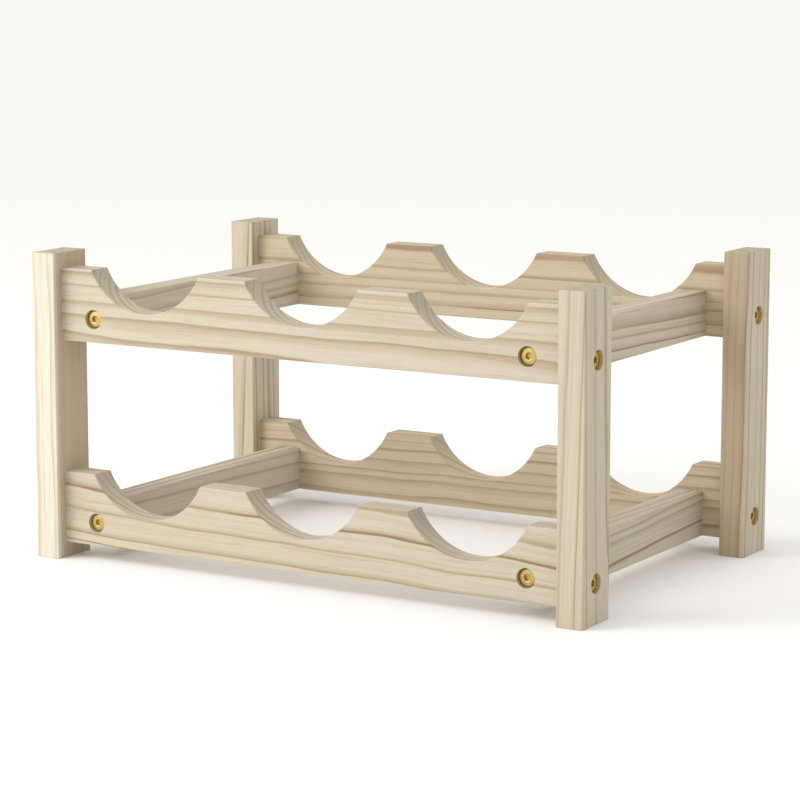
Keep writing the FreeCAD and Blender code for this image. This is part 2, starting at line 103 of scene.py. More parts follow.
class Wire:
    """A value inside a node tree; its operators add Math nodes."""

    def __init__(self, graph: "Tree", socket: bpy.types.NodeSocket | None) -> None:
        """Wrap an output socket of the tree."""
        self.graph = graph
        self.socket = socket

    def _math(self, operation: str, *values: Any) -> "Wire":
        """Add one Math node and return its result."""
        return self.graph.node("ShaderNodeMath", {"operation": operation}, *values)

    def __add__(self, other: Any) -> "Wire":
        """Return self + other."""
        return self._math("ADD", self, other)

    def __radd__(self, other: Any) -> "Wire":
        """Return other + self."""
        return self._math("ADD", other, self)

    def __sub__(self, other: Any) -> "Wire":
        """Return self - other."""
        return self._math("SUBTRACT", self, other)

    def __rsub__(self, other: Any) -> "Wire":
        """Return other - self."""
        return self._math("SUBTRACT", other, self)

    def __mul__(self, other: Any) -> "Wire":
        """Return self * other."""
        return self._math("MULTIPLY", self, other)

    def __rmul__(self, other: Any) -> "Wire":
        """Return other * self."""
        return self._math("MULTIPLY", other, self)

    def __truediv__(self, other: Any) -> "Wire":
        """Return self / other."""
        return self._math("DIVIDE", self, other)

    def __pow__(self, other: Any) -> "Wire":
        """Return self raised to other."""
        return self._math("POWER", self, other)

    def __abs__(self) -> "Wire":
        """Return the absolute value."""
        return self._math("ABSOLUTE", self)

    def root(self) -> "Wire":
        """Return the square root."""
        return self._math("SQRT", self)

    def whole(self) -> "Wire":
        """Return the whole number below."""
        return self._math("FLOOR", self)

    def part(self) -> "Wire":
        """Return the fractional part."""
        return self._math("FRACT", self)

    def most(self, other: Any) -> "Wire":
        """Return the larger of two values."""
        return self._math("MAXIMUM", self, other)

    def least(self, other: Any) -> "Wire":
        """Return the smaller of two values."""
        return self._math("MINIMUM", self, other)

    def sine(self) -> "Wire":
        """Return the sine."""
        return self._math("SINE", self)

    def cosine(self) -> "Wire":
        """Return the cosine."""
        return self._math("COSINE", self)

    def share(self, start: float, end: float) -> "Wire":
        """Rise evenly from 0 at start to 1 at end, and stay level outside them."""
        return self.graph.node("ShaderNodeMapRange", {"clamp": True}, self, start, end, 0.0, 1.0)

    def ramp(self, start: float, end: float) -> "Wire":
        """Rise smoothly from 0 to 1 between two values.

        Args:
            start: Value at which the result is 0.
            end: Value at which the result is 1; below start, the result falls.

        Returns:
            The smoothed step.
        """
        settings = {"interpolation_type": "SMOOTHSTEP"}
        low, high = min(start, end), max(start, end)
        rising = self.graph.node("ShaderNodeMapRange", settings, self, low, high, 0.0, 1.0)
        return rising if start < end else 1 - rising


class Tree:
    """A node tree, with one method that adds any node."""

    def __init__(self, tree: bpy.types.NodeTree) -> None:
        """Wrap an empty node tree."""
        self.tree = tree

    def node(self, kind: str, settings: dict[str, Any], *values: Any, **named: Any) -> Wire:
        """Add a node.

        Args:
            kind: Blender's type name of the node.
            settings: Properties to set before any socket.
            values: Wires or constants for the first sockets, in order; None skips a socket.
            named: Wires or constants for sockets by name, with underscores for spaces.

        Returns:
            The node's first output that is switched on.
        """
        made = self.tree.nodes.new(kind)
        for key, value in settings.items():
            setattr(made, key, value)
        inputs = [socket for socket in made.inputs if socket.enabled]
        chosen = {socket.name.replace(" ", "_"): socket for socket in reversed(inputs)}
        pairs = list(zip(inputs, values)) + [(chosen[key], value) for key, value in named.items()]
        for socket, value in pairs:
            for item in value if isinstance(value, list) else [value]:
                if isinstance(item, Wire):
                    self.tree.links.new(item.socket, socket)
                elif item is not None:
                    socket.default_value = item
        outputs = [socket for socket in made.outputs if socket.enabled]
        return Wire(self, outputs[0] if outputs else None)

    def output(self, wire: Wire, name: str) -> Wire:
        """Return another output of the node that made a wire."""
        return Wire(self, wire.socket.node.outputs[name])

    def join(self, x: Any, y: Any, z: Any) -> Wire:
        """Return a vector made of three numbers."""
        return self.node("ShaderNodeCombineXYZ", {}, x, y, z)


class Graph(Tree):
    """A material's node tree."""

    def __init__(self, name: str) -> None:
        """Start an empty material.

        Args:
            name: Name of the material.
        """
        self.material = bpy.data.materials.new(name)
        self.material.use_nodes = True
        super().__init__(self.material.node_tree)
        self.tree.nodes.clear()

    def place(self) -> Wire:
        """Return the object coordinates."""
        coordinates = self.node("ShaderNodeTexCoord", {})
        return self.output(coordinates, "Object")

    def split(self, vector: Wire) -> list[Wire]:
        """Return a vector's three numbers."""
        first = self.node("ShaderNodeSeparateXYZ", {}, vector)
        return [self.output(first, letter) for letter in "XYZ"]

    def noise(self, vector: Wire, scale: float, detail: float = 2.0, rough: float = 0.5) -> Wire:
        """Return smooth noise between about 0 and 1.

        Args:
            vector: Where the noise is read.
            scale: Features for each unit of the vector.
            detail: Number of finer octaves.
            rough: Strength of each finer octave.

        Returns:
            The noise value.
        """
        settings = {"noise_dimensions": "3D"}
        return self.node(
            "ShaderNodeTexNoise", settings, Vector=vector, Scale=scale, Detail=detail, Roughness=rough
        )

    def dice(self, number: Any, seed: float) -> Wire:
        """Return one random value between 0 and 1 for each whole number.

        Args:
            number: The whole number.
            seed: Picks another set of values.

        Returns:
            The random value.
        """
        settings = {"noise_dimensions": "2D"}
        spot = self.join(number, seed, 0.0)
        return self.node("ShaderNodeTexWhiteNoise", settings, Vector=spot)

    def blend(self, factor: Any, first: Any, second: Any, mode: str = "MIX") -> Wire:
        """Mix two colours.

        Args:
            factor: 0 gives the first colour and 1 the second.
            first: Colour or wire.
            second: Colour or wire.
            mode: Blender's blend type.

        Returns:
            The mixed colour.
        """
        settings = {"data_type": "RGBA", "blend_type": mode, "clamp_factor": True}
        colours = [(*c, 1.0) if isinstance(c, tuple) else c for c in (first, second)]
        return self.node("ShaderNodeMix", settings, factor, *colours)

    def surface(self, **sockets: Any) -> bpy.types.Material:
        """Finish the material with one principled surface.

        Args:
            sockets: Values or wires of the surface's sockets, with underscores for spaces.

        Returns:
            The finished material.
        """
        shader = self.node("ShaderNodeBsdfPrincipled", {}, **sockets)
        self.node("ShaderNodeOutputMaterial", {}, shader)
        return self.material


@dataclass(frozen=True)
class Marks:
    """One kind of mark in wood: how many fit in a millimetre, along the grain and across it.

    moved is the coordinate that a board's seed moves: 0 along the grain, 1 or 2 across it.
    """

    along: float
    across: float
    moved: int = 2
    detail: float = 2.0
    rough: float = 0.5

    def on(self, graph: Graph, place: list[Wire], seed: float) -> Wire:
        """Lay the marks out.

        Args:
            graph: Material being built.
            place: Place in mm along the grain, and across it twice.
            seed: Moves the marks.

        Returns:
            Noise between about 0 and 1.
        """
        spot = [place[0] * self.along, place[1] * self.across, place[2] * self.across]
        spot[self.moved] = spot[self.moved] + seed
        return graph.noise(graph.join(*spot), 1.0, self.detail, self.rough)


@dataclass(frozen=True)
class Tone:
    """Colours of one board, from its pale early wood to its heartwood, which on two posts is partly painted
    shade, and the painted shade and painted golden reflection on the walls of its counterbores.
    """

    early: Colour = (0.538, 0.483, 0.378)
    late: Colour = (0.342, 0.255, 0.163)
    line: Colour = (0.258, 0.168, 0.099)
    blush: Colour = (0.434, 0.333, 0.247)
    # heartwood colour, set darker than heartwood alone so that it also serves as painted shade
    heart: Colour = (0.425, 0.326, 0.218)
    end: Colour = (0.418, 0.366, 0.283)
    # the drill's own darkening, deepened into painted shade in the recess and tinted gold as a painted
    # reflection of the brass heads
    drilled: Colour = (0.500, 0.380, 0.180)


@dataclass(frozen=True)
class Cut:
    """How one board was sawn from its log; lengths in millimetres.

    pith is where the log's centre lies from the board's middle, across the grain, lean is how
    far that centre moves sideways for each length of the board, and rings is the growth of a
    year. The heartwood reach is how far the darker heartwood goes from the pith; on the two posts
    where it is set, the heartwood is partly painted shade on the sides nearest the pith. contrast
    scales the late wood, and lines is the share of years that end in a thin dark line.
    """

    seed: int
    pith: tuple[float, float]
    lean: tuple[float, float] = (0.0, 0.0)
    rings: float = 5.6
    # reach of the heartwood from the pith; where it is set, the heartwood is partly painted shade
    heart: float = 0.0
    contrast: float = 1.0
    lines: float = 0.25
    tone: Tone = field(default_factory=Tone)


@dataclass(frozen=True)
class Bore:
    """A counterbore in a board: the axis it was bored along and a point on that axis."""

    axis: Axis
    point: tuple[float, float, float]
    diameter: float = 12.4


@dataclass(frozen=True)
class Pine:
    """Unfinished planed pine, with growth rings that run through the whole board."""

    name: str
    grain: Axis
    middle: tuple[float, float, float]
    cut: Cut
    bores: tuple[Bore, ...] = ()
    ripple: float = 2.0
    roughness: float = 0.62

    FIBRES = Marks(0.05, 3.0, 0, 3.0, 0.6)
    STREAKS = Marks(0.016, 0.75, 1, 4.0, 0.62)
    VEIL = Marks(0.010, 0.05)
    FLECKS = Marks(0.30, 4.5, detail=1.0)
    PORES = Marks(2.0, 4.0, detail=3.0, rough=0.65)
    WAVES = Marks(0.012, 0.06, detail=3.0)
    PATCHES = Marks(0.009, 0.10, 0)
    BREAKS = Marks(0.012, 0.2, 1, 1.0)

    def material(self) -> bpy.types.Material:
        """Build the board's material.

        Returns:
            The finished material.
        """
        graph = Graph(self.name)
        own = self._own_coordinates(graph)
        place = [own[index] for index in (self.grain.value, *self.grain.cross_axes())]
        normal = self._normal(graph)
        tone = self.cut.tone
        seed = float(self.cut.seed)

        radius = self._radius(graph, place)
        late, line = self._late_wood(graph, radius, place)
        kinds = (self.FIBRES, self.STREAKS, self.VEIL, self.FLECKS, self.PORES)
        fibres, streaks, veil, flecks, pores = (kind.on(graph, place, seed) for kind in kinds)

        # heartwood near the pith; on the two posts where it is set, it darkens their inner sides as painted
        # shade too
        heart = radius.ramp(self.cut.heart + 3.0, self.cut.heart - 3.0)
        colour = graph.blend(heart * 0.85, tone.early, tone.heart)
        colour = graph.blend(late, colour, tone.late)
        colour = graph.blend(streaks.ramp(0.48, 0.72) * veil.ramp(0.30, 0.60) * 0.75, colour, tone.blush)
        colour = graph.blend(line, colour, tone.line)
        worn = normal[1].least(normal[2]).ramp(0.15, 0.60)
        shade = 0.89 + 0.13 * fibres + 0.11 * streaks - 0.07 * flecks.ramp(0.60, 0.74) + 0.05 * worn
        colour = graph.blend(1.0, colour, graph.join(shade, shade, shade), "MULTIPLY")

        sawn = normal[0].ramp(0.55, 0.97)
        end_colour = graph.blend(late, tone.end, tuple(0.74 * part for part in tone.end))
        end_colour = graph.blend(pores.ramp(0.35, 0.75) * 0.35, end_colour, tone.early)
        colour = graph.blend(sawn * 0.85, colour, end_colour)
        # counterbore walls: the drill's darkening, plus painted shade and a painted golden reflection of
        # the brass heads
        colour = graph.blend(self._drilled(own) * 0.9, colour, tone.drilled)

        rough = self.roughness + 0.16 * (fibres - 0.5) - 0.06 * late + 0.14 * sawn - 0.08 * worn
        height = 0.55 * fibres + 0.12 * late + 0.35 * pores * sawn - 0.5 * flecks.ramp(0.62, 0.76)
        bump = graph.node("ShaderNodeBump", {}, Strength=0.5, Distance=0.00016, Height=height)
        return graph.surface(
            Base_Color=colour, Roughness=rough, Normal=bump, IOR=1.45, Specular_IOR_Level=0.35
        )

    def _own_coordinates(self, graph: Graph) -> list[Wire]:
        """Return the place in mm from the board's middle, along the frame's three axes."""
        parts = graph.split(graph.place())
        return [(part - middle) * (1 / MM) for part, middle in zip(parts, self.middle)]

    def _normal(self, graph: Graph) -> list[Wire]:
        """Find which way the surface faces.

        Args:
            graph: Material being built.

        Returns:
            How far it faces along the grain, and across it twice, without signs.
        """
        geometry = graph.node("ShaderNodeNewGeometry", {})
        parts = graph.split(graph.output(geometry, "True Normal"))
        order = (self.grain.value, *self.grain.cross_axes())
        return [abs(parts[index]) for index in order]

    def _radius(self, graph: Graph, place: list[Wire]) -> Wire:
        """Return the distance from the log's centre in mm.

        Args:
            graph: Material being built.
            place: Place in mm along the grain, and across it twice.

        Returns:
            The distance, with the waviness of the grain.
        """
        cut = self.cut
        seed = float(cut.seed)
        along, u, v = place
        drift = (graph.noise(graph.join(along * 0.006, seed, 0.0), 1.0, 2.0) - 0.5) * 5.0
        ripple = self.WAVES.on(graph, place, seed)
        from_u = u - cut.pith[0] - along * cut.lean[0] - drift
        from_v = v - cut.pith[1] - along * cut.lean[1] - drift
        return (from_u * from_u + from_v * from_v).root() + (ripple - 0.5) * self.ripple

    def _late_wood(self, graph: Graph, radius: Wire, place: list[Wire]) -> tuple[Wire, Wire]:
        """Find the dark part of each year's growth.

        Args:
            graph: Material being built.
            radius: Distance from the log's centre in mm.
            place: Place in mm along the grain, and across it twice.

        Returns:
            The strength of the late wood and that of the thin dark lines, from 0 to 1.
        """
        cut = self.cut
        seed = float(cut.seed)
        uneven = graph.noise(graph.join(radius * 0.07, seed * 3.0, 0.0), 1.0, 1.0)
        ring = radius * (1 / cut.rings) + (uneven - 0.5) * 2.4
        year, phase = ring.whole(), ring.part()

        strength = 0.50 + 0.50 * graph.dice(year, seed)
        start = 0.30 + 0.42 * graph.dice(year, seed + 4.0)
        rising = ((phase - start) / (0.92 - start)).share(0.0, 1.0) ** 1.2
        patch = self.PATCHES.on(graph, place, seed)
        fine = graph.noise(graph.join(radius * 0.85, place[0] * 0.004, seed), 1.0, 3.0, 0.65)
        late = rising * phase.ramp(1.0, 0.93) * strength * (0.70 + 0.7 * patch)
        late = (late + 1.1 * (fine - 0.46).most(0.0)) * cut.contrast

        lined = graph.dice(year, seed + 9.0).ramp(cut.lines, cut.lines - 0.02)
        broken = self.BREAKS.on(graph, place, seed)
        edge = phase.ramp(0.84, 0.92) * phase.ramp(0.99, 0.95)
        return late, edge * lined * broken.ramp(0.32, 0.55) * 0.95

    def _drilled(self, own: list[Wire]) -> Wire:
        """Find the walls of the board's counterbores, which get the drill's darkening, painted shade and a
        painted golden reflection of the brass heads.

        Args:
            own: Place in mm from the board's middle, along the frame's three axes.

        Returns:
            1 on those walls and 0 elsewhere.
        """
        painted_walls = own[0] * 0.0
        for bore in self.bores:
            first, second = bore.axis.cross_axes()
            a = own[first] - (bore.point[first] - self.middle[first]) / MM
            b = own[second] - (bore.point[second] - self.middle[second]) / MM
            reach = (a * a + b * b).root()
            painted_walls = painted_walls.most(reach.ramp(bore.diameter / 2 + 0.12, bore.diameter / 2 - 0.02))
        return painted_walls


@dataclass(frozen=True)
class Beech:
    """Turned beech of the dowels, with short dark flecks along the grain."""

    name: str
    grain: Axis
    pale: Colour = (0.640, 0.440, 0.270)
    dark: Colour = (0.480, 0.300, 0.170)

    FIGURE = Marks(0.06, 1.1, detail=3.0, rough=0.6)
    FLECKS = Marks(0.8, 4.5, detail=1.0)

    def material(self) -> bpy.types.Material:
        """Build the dowel's material.

        Returns:
            The finished material.
        """
        graph = Graph(self.name)
        parts = [part * (1 / MM) for part in graph.split(graph.place())]
        place = [parts[index] for index in (self.grain.value, *self.grain.cross_axes())]
        grain = self.FIGURE.on(graph, place, 0.0)
        flecks = self.FLECKS.on(graph, place, 0.0).ramp(0.60, 0.72)
        colour = graph.blend(grain.ramp(0.35, 0.70), self.pale, self.dark)
        colour = graph.blend(flecks * 0.6, colour, tuple(0.7 * c for c in self.dark))
        bump = graph.node("ShaderNodeBump", {}, Strength=0.5, Distance=0.0001, Height=grain - flecks)
        return graph.surface(Base_Color=colour, Roughness=0.5 + 0.2 * grain, Normal=bump)


@dataclass(frozen=True)
class Brass:
    """Yellow-plated steel of the screws: faint stains and small nicks."""

    name: str = "yellow_plated_steel"
    bright: Colour = (0.565, 0.430, 0.163)
    dull: Colour = (0.450, 0.325, 0.108)

    def material(self) -> bpy.types.Material:
        """Build the screws' material.

        Returns:
            The finished material.
        """
        graph = Graph(self.name)
        place = graph.place()
        stain = graph.noise(place, 420.0, 3.0, 0.6)
        nicks = graph.noise(place, 2600.0, 2.0, 0.6)
        colour = graph.blend(stain.ramp(0.42, 0.72) * 0.75, self.bright, self.dull)
        rough = 0.30 + 0.22 * stain + 0.06 * nicks
        bump = graph.node("ShaderNodeBump", {}, Strength=0.35, Distance=0.00004, Height=nicks + stain)
        return graph.surface(Base_Color=colour, Metallic=1.0, Roughness=rough, Normal=bump)


def middle_of(node: str) -> tuple[float, float, float]:
    """Return the middle of a frame node's box."""
    low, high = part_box(node)
    return tuple((low + high) / 2)


def wear(node: str, material: bpy.types.Material) -> None:
    """Give a frame node one material.

    Args:
        node: Name of the node.
        material: Its finish.
    """
    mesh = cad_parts[node].data
    mesh.materials.clear()
    mesh.materials.append(material)


PALE = Tone(early=(0.680, 0.640, 0.540), late=(0.505, 0.415, 0.298), line=(0.405, 0.298, 0.200))
# A warmer, slightly darker tone for the rear rails: painted shade for the inside of the rack, spread over
# each whole board.
WARM_SHADE = Tone(early=(0.530, 0.448, 0.316), late=(0.330, 0.236, 0.138), line=(0.244, 0.155, 0.086))


@dataclass
class Boards:
    """The rack's twelve pine boards and how each was sawn."""

    posts: dict[str, Cut] = field(default_factory=lambda: {
        "post_front_right": Cut(seed=11, pith=(-34.0, 24.0), lean=(0.012, -0.015), rings=5.8),
        # the heartwood of this post is partly painted shade on its inner and rear sides
        "post_front_left": Cut(
            seed=23, pith=(30.0, 30.0), lean=(0.01, -0.01), rings=6.0, heart=49.0, tone=PALE
        ),
        # the heartwood of this post is partly painted shade on its inner and front sides
        "post_rear_right": Cut(seed=37, pith=(-32.0, -38.0), lean=(0.015, 0.01), rings=5.6, heart=45.0),
        "post_rear_left": Cut(seed=41, pith=(-30.0, 44.0), lean=(0.01, -0.015), rings=5.8),
    })
    cradle_rails: dict[str, Cut] = field(default_factory=lambda: {
        "upper_front_rail": Cut(seed=5, pith=(46.0, -34.0), lean=(0.01, 0.008), rings=5.6, lines=0.4),
        "lower_front_rail": Cut(seed=67, pith=(50.0, 34.0), lean=(-0.01, -0.02), rings=6.0, lines=0.3),
        # the rear rails take the warmer, darker tone as painted shade
        "upper_rear_rail": Cut(seed=73, pith=(-44.0, 34.0), lean=(0.01, 0.012), rings=5.6, tone=WARM_SHADE),
        "lower_rear_rail": Cut(seed=89, pith=(-38.0, -36.0), lean=(0.0, 0.015), rings=5.8, tone=WARM_SHADE),
    })
    side_rails: dict[str, Cut] = field(default_factory=lambda: {
        "upper_right_side_rail": Cut(seed=97, pith=(-30.0, 36.0), lean=(0.01, -0.02), rings=5.4, lines=0.4),
        "lower_right_side_rail": Cut(seed=101, pith=(-36.0, -38.0), lean=(0.01, 0.02), rings=5.6),
        "upper_left_side_rail": Cut(seed=113, pith=(34.0, 32.0), lean=(0.01, 0.015), rings=5.6),
        "lower_left_side_rail": Cut(seed=127, pith=(38.0, -30.0), lean=(0.0, -0.02), rings=5.8),
    })

    def dress(self) -> None:
        """Give each board its own pine."""
        bores = self._bores()
        groups = {Axis.UPRIGHT: self.posts, Axis.ACROSS: self.cradle_rails, Axis.DEEP: self.side_rails}
        for grain, cuts in groups.items():
            for node, cut in cuts.items():
                pine = Pine(f"pine_{node}", grain, middle_of(node), cut, tuple(bores.get(node, ())))
                wear(node, pine.material())
                LOG.info("%s: pine, grain %s", node, grain.name.lower())

    def _bores(self) -> dict[str, list[Bore]]:
        """Find the counterbores of each board from the screws that sit in them.

        Returns:
            The counterbores by the name of the board.
        """
        bores: dict[str, list[Bore]] = {}
        for joint in Joint:
            for screw, board in joint.screws().items():
                bores.setdefault(board, []).append(Bore(joint.axis, middle_of(screw)))
        return bores


@dataclass
class Dowels:
    """The sixteen dowels inside the joints."""

    def dress(self) -> None:
        """Give the dowels their beech, with the grain along each."""
        for joint in Joint:
            beech = Beech(f"beech_{joint.value}_dowels", joint.axis).material()
            for node in joint.dowels():
                wear(node, beech)
                LOG.info("%s: beech", node)


class Recipe(Tree):
    """A geometry node tree with named inputs, run once to make a plain mesh."""

    def __init__(self, name: str) -> None:
        """Start an empty recipe.

        Args:
            name: Name of the node group.
        """
        super().__init__(bpy.data.node_groups.new(name, "GeometryNodeTree"))
        self.values: dict[str, Any] = {}
        self.tree.interface.new_socket("Geometry", in_out="INPUT", socket_type="NodeSocketGeometry")
        self.tree.interface.new_socket("Geometry", in_out="OUTPUT", socket_type="NodeSocketGeometry")

    def ask(self, name: str, value: Any, kind: str = "NodeSocketFloat") -> Wire:
        """Add a named input.

        Args:
            name: Name of the input.
            value: What the modifier sets it to.
            kind: Blender's socket type.

        Returns:
            The input's value inside the tree.
        """
        socket = self.tree.interface.new_socket(name, in_out="INPUT", socket_type=kind)
        self.values[socket.identifier] = value
        return self.output(self.node("NodeGroupInput", {}), name)

    def seats(self) -> Wire:
        """Return the geometry that the recipe is run on."""
        return self.node("NodeGroupInput", {})

    def run(
        self, result: Wire, finish: bpy.types.Material, seats: bpy.types.Mesh, name: str
    ) -> bpy.types.Object:
        """Finish the tree, run it on a mesh and keep the outcome as a plain mesh.

        Args:
            result: Geometry that the recipe makes.
            finish: Material of every face.
            seats: Mesh that the recipe starts from.
            name: Name of the new object.

        Returns:
            The new object, with no modifier.
        """
        real = self.node("GeometryNodeRealizeInstances", {}, result)
        dressed = self.node("GeometryNodeSetMaterial", {}, Geometry=real, Material=finish)
        self.node("NodeGroupOutput", {}, dressed)
        holder = bpy.data.objects.new(f"{name}_seats", seats)
        bpy.context.scene.collection.objects.link(holder)
        modifier = holder.modifiers.new(self.tree.name, "NODES")
        modifier.node_group = self.tree
        for identifier, value in self.values.items():
            modifier[identifier] = value
        depsgraph = bpy.context.evaluated_depsgraph_get()
        mesh = bpy.data.meshes.new_from_object(holder.evaluated_get(depsgraph), depsgraph=depsgraph)
        bpy.data.objects.remove(holder)
        mesh.name = name
        piece = bpy.data.objects.new(name, mesh)
        bpy.context.scene.collection.objects.link(piece)
        return piece


@dataclass(frozen=True)
class Corner:
    """One corner of a turned profile, and the rows of faces that lead to it."""

    rows: int
    radius: Any
    height: Any


class Lathe:
    """A turned surface: a grid whose rows follow a profile and whose columns go round."""

    def __init__(self, recipe: Recipe, sides: Wire, corners: list[Corner]) -> None:
        """Lay out the grid.

        Args:
            recipe: Tree that the surface is made in.
            sides: Number of faces round the axis.
            corners: The profile, from one end of the axis to the other.
        """
        self.recipe = recipe
        self.sides = sides
        self.rows = sum(corner.rows for corner in corners) + 1
        index = recipe.node("GeometryNodeInputIndex", {})
        column = ((index + 0.5) / self.rows).whole()
        self.row = index - column * self.rows
        self.turn = column * math.tau / sides
        self.radius = self._along([corner.radius for corner in corners], corners)
        self.height = self._along([corner.height for corner in corners], corners)

    def _along(self, stops: list[Any], corners: list[Corner]) -> Wire:
        """Go evenly from each corner's stop to the next one's.

        Args:
            stops: Radius or height at each corner.
            corners: The profile.

        Returns:
            The value at each point of the grid.
        """
        value = stops[0]
        start = 0
        for before, after, corner in zip(stops, stops[1:], corners[1:]):
            value = value + (after - before) * self.row.share(start, start + corner.rows)
            start += corner.rows
        return value

    def mesh(self, radius: Wire) -> Wire:
        """Return the closed surface.

        Args:
            radius: Distance from the axis at each point.

        Returns:
            The mesh, with its seam and its poles joined.
        """
        grid = self.recipe.node("GeometryNodeMeshGrid", {}, 1.0, 1.0, self.sides + 1, self.rows)
        spot = self.recipe.join(radius * self.turn.cosine(), radius * self.turn.sine(), self.height)
        turned = self.recipe.node("GeometryNodeSetPosition", {}, Geometry=grid, Position=spot)
        return self.recipe.node("GeometryNodeMergeByDistance", {}, Geometry=turned, Distance=JOIN)


@dataclass
class HexScrews:
    """Hex-socket screws of one kind of joint, with domed heads and helical threads.

    Each float field is a length in millimetres and a named input of the screws' recipe.
    BORE_DEPTH is how far the heads' undersides lie below the wood's face.
    """

    joint: Joint
    finish: bpy.types.Material
    head_height: float = 2.2
    head_rim: float = 1.7
    rounding: float = 0.4
    under_bevel: float = 0.15
    neck_fillet: float = 0.3
    shank_diameter: float = 5.8
    thread_start: float = 18.0
    thread_pitch: float = 2.5
    thread_depth: float = 0.7
    thread_rows: int = 72
    point_length: float = 4.0
    point_diameter: float = 3.8
    socket_width: float = 4.0
    socket_depth: float = 2.0
    mouth_floor: float = 3.2
    mouth_diameter: float = 5.6
    mouth_depth: float = 0.55
    sides: int = 48
    seed: int = 7

    BORE_DEPTH = 3.8

    def build(self) -> bpy.types.Object:
        """Make all the screws as one piece that stands for their frame nodes.

        Returns:
            The finished piece.
        """
        name = f"{self.joint.value}_screws"
        recipe = Recipe(name)
        lengths = {item.name: getattr(self, item.name) * MM for item in fields(self) if item.type is float}
        lengths |= {"head_diameter": self._head_diameter(), "length": self._length()}
        size = {key: recipe.ask(key.replace("_", " ").title(), value) for key, value in lengths.items()}
        sides = recipe.ask("Sides", self.sides, "NodeSocketInt")
        seed = recipe.ask("Seed", self.seed, "NodeSocketInt")
        screw = self._socketed(recipe, self._turned(recipe, size, sides), size, sides)
        placed = self._placed(recipe, self._smoothed(recipe, screw), seed)
        piece = recipe.run(placed, self.finish, self._seats(), name)
        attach(piece, "root")
        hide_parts(*self.joint.screws())
        LOG.info("%s: %d screws, %d faces", name, len(self.joint.screws()), len(piece.data.polygons))
        return piece

    def _head_diameter(self) -> float:
        """Return the head's diameter in metres, from the box across a screw."""
        low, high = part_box(next(iter(self.joint.screws())))
        return (high - low)[self.joint.axis.cross_axes()[0]]

    def _seat(self, node: str) -> tuple[Vector, Vector]:
        """Find where a screw sits.

        Args:
            node: The screw's frame node.

        Returns:
            The place of the head's underside, and the way that the head looks.
        """
        axis = self.joint.axis.value
        side = 1.0 if middle_of(node)[axis] > 0 else -1.0
        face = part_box(self.joint.screws()[node])[side > 0][axis]
        seat = Vector(middle_of(node))
        seat[axis] = face - side * self.BORE_DEPTH * MM
        facing = Vector((0.0, 0.0, 0.0))
        facing[axis] = side
        return seat, facing

    def _length(self) -> float:
        """Measure the first screw from its seat to its tip.

        Returns:
            The length below the head in metres.
        """
        axis = self.joint.axis.value
        node = next(iter(self.joint.screws()))
        seat, facing = self._seat(node)
        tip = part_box(node)[facing[axis] < 0][axis]
        return abs(seat[axis] - tip)

    def _seats(self) -> bpy.types.Mesh:
        """Mark the places of the screws.

        Returns:
            A mesh with one point for each screw, and the way it looks as an attribute.
        """
        seats = [self._seat(node) for node in self.joint.screws()]
        mesh = bpy.data.meshes.new(f"{self.joint.value}_seats")
        mesh.from_pydata([tuple(seat) for seat, _ in seats], [], [])
        attribute = mesh.attributes.new("facing", "FLOAT_VECTOR", "POINT")
        for item, (_, facing) in zip(attribute.data, seats):
            item.vector = facing
        return mesh

    def _turned(self, recipe: Recipe, size: dict[str, Wire], sides: Wire) -> Wire:
        """Make the head and the shank.

        Args:
            recipe: Tree that the screw is made in.
            size: The tree's named lengths in metres.
            sides: Number of faces round the screw.

        Returns:
            The closed mesh, its seat at z = 0 and its head above.
        """
        outer = size["head_diameter"] * 0.5
        shank = size["shank_diameter"] * 0.5
        point = size["point_diameter"] * 0.5
        top, rim, edge = size["head_height"], size["head_rim"], size["rounding"]
        bevel, fillet = size["under_bevel"], size["neck_fillet"]
        start, tip = 0.0 - size["thread_start"], 0.0 - size["length"]
        dome = [
            Corner(1, outer * share, top - (top - rim) * share**2)
            for share in (0.35, 0.55, 0.72, 0.84, 0.93)
        ]
        edges = [
            Corner(1, outer - edge * (1 - math.sin(turn)), rim - edge * (1 - math.cos(turn)))
            for turn in (math.radians(degrees) for degrees in (25, 45, 65, 90))
        ]
        below = [
            Corner(1, outer, bevel),
            Corner(1, outer - bevel, 0.0),
            Corner(2, shank + fillet, 0.0),
            Corner(1, shank, 0.0 - fillet),
            Corner(4, shank, start),
            Corner(self.thread_rows, shank, tip + size["point_length"]),
            Corner(3, point, tip + fillet),
            Corner(1, point - fillet, tip),
            Corner(2, 0.0, tip),
        ]
        lathe = Lathe(recipe, sides, [Corner(0, 0.0, top), *dome, *edges, *below])
        turns = lathe.height / size["thread_pitch"] + lathe.turn / math.tau
        groove = 1 - abs(turns.part() * 2.0 - 1)
        begun = lathe.height.share(start, start - size["thread_pitch"])
        ended = (lathe.height - tip).share(size["point_length"] * 0.2, size["point_length"])
        return lathe.mesh(lathe.radius - groove * begun * ended * size["thread_depth"])

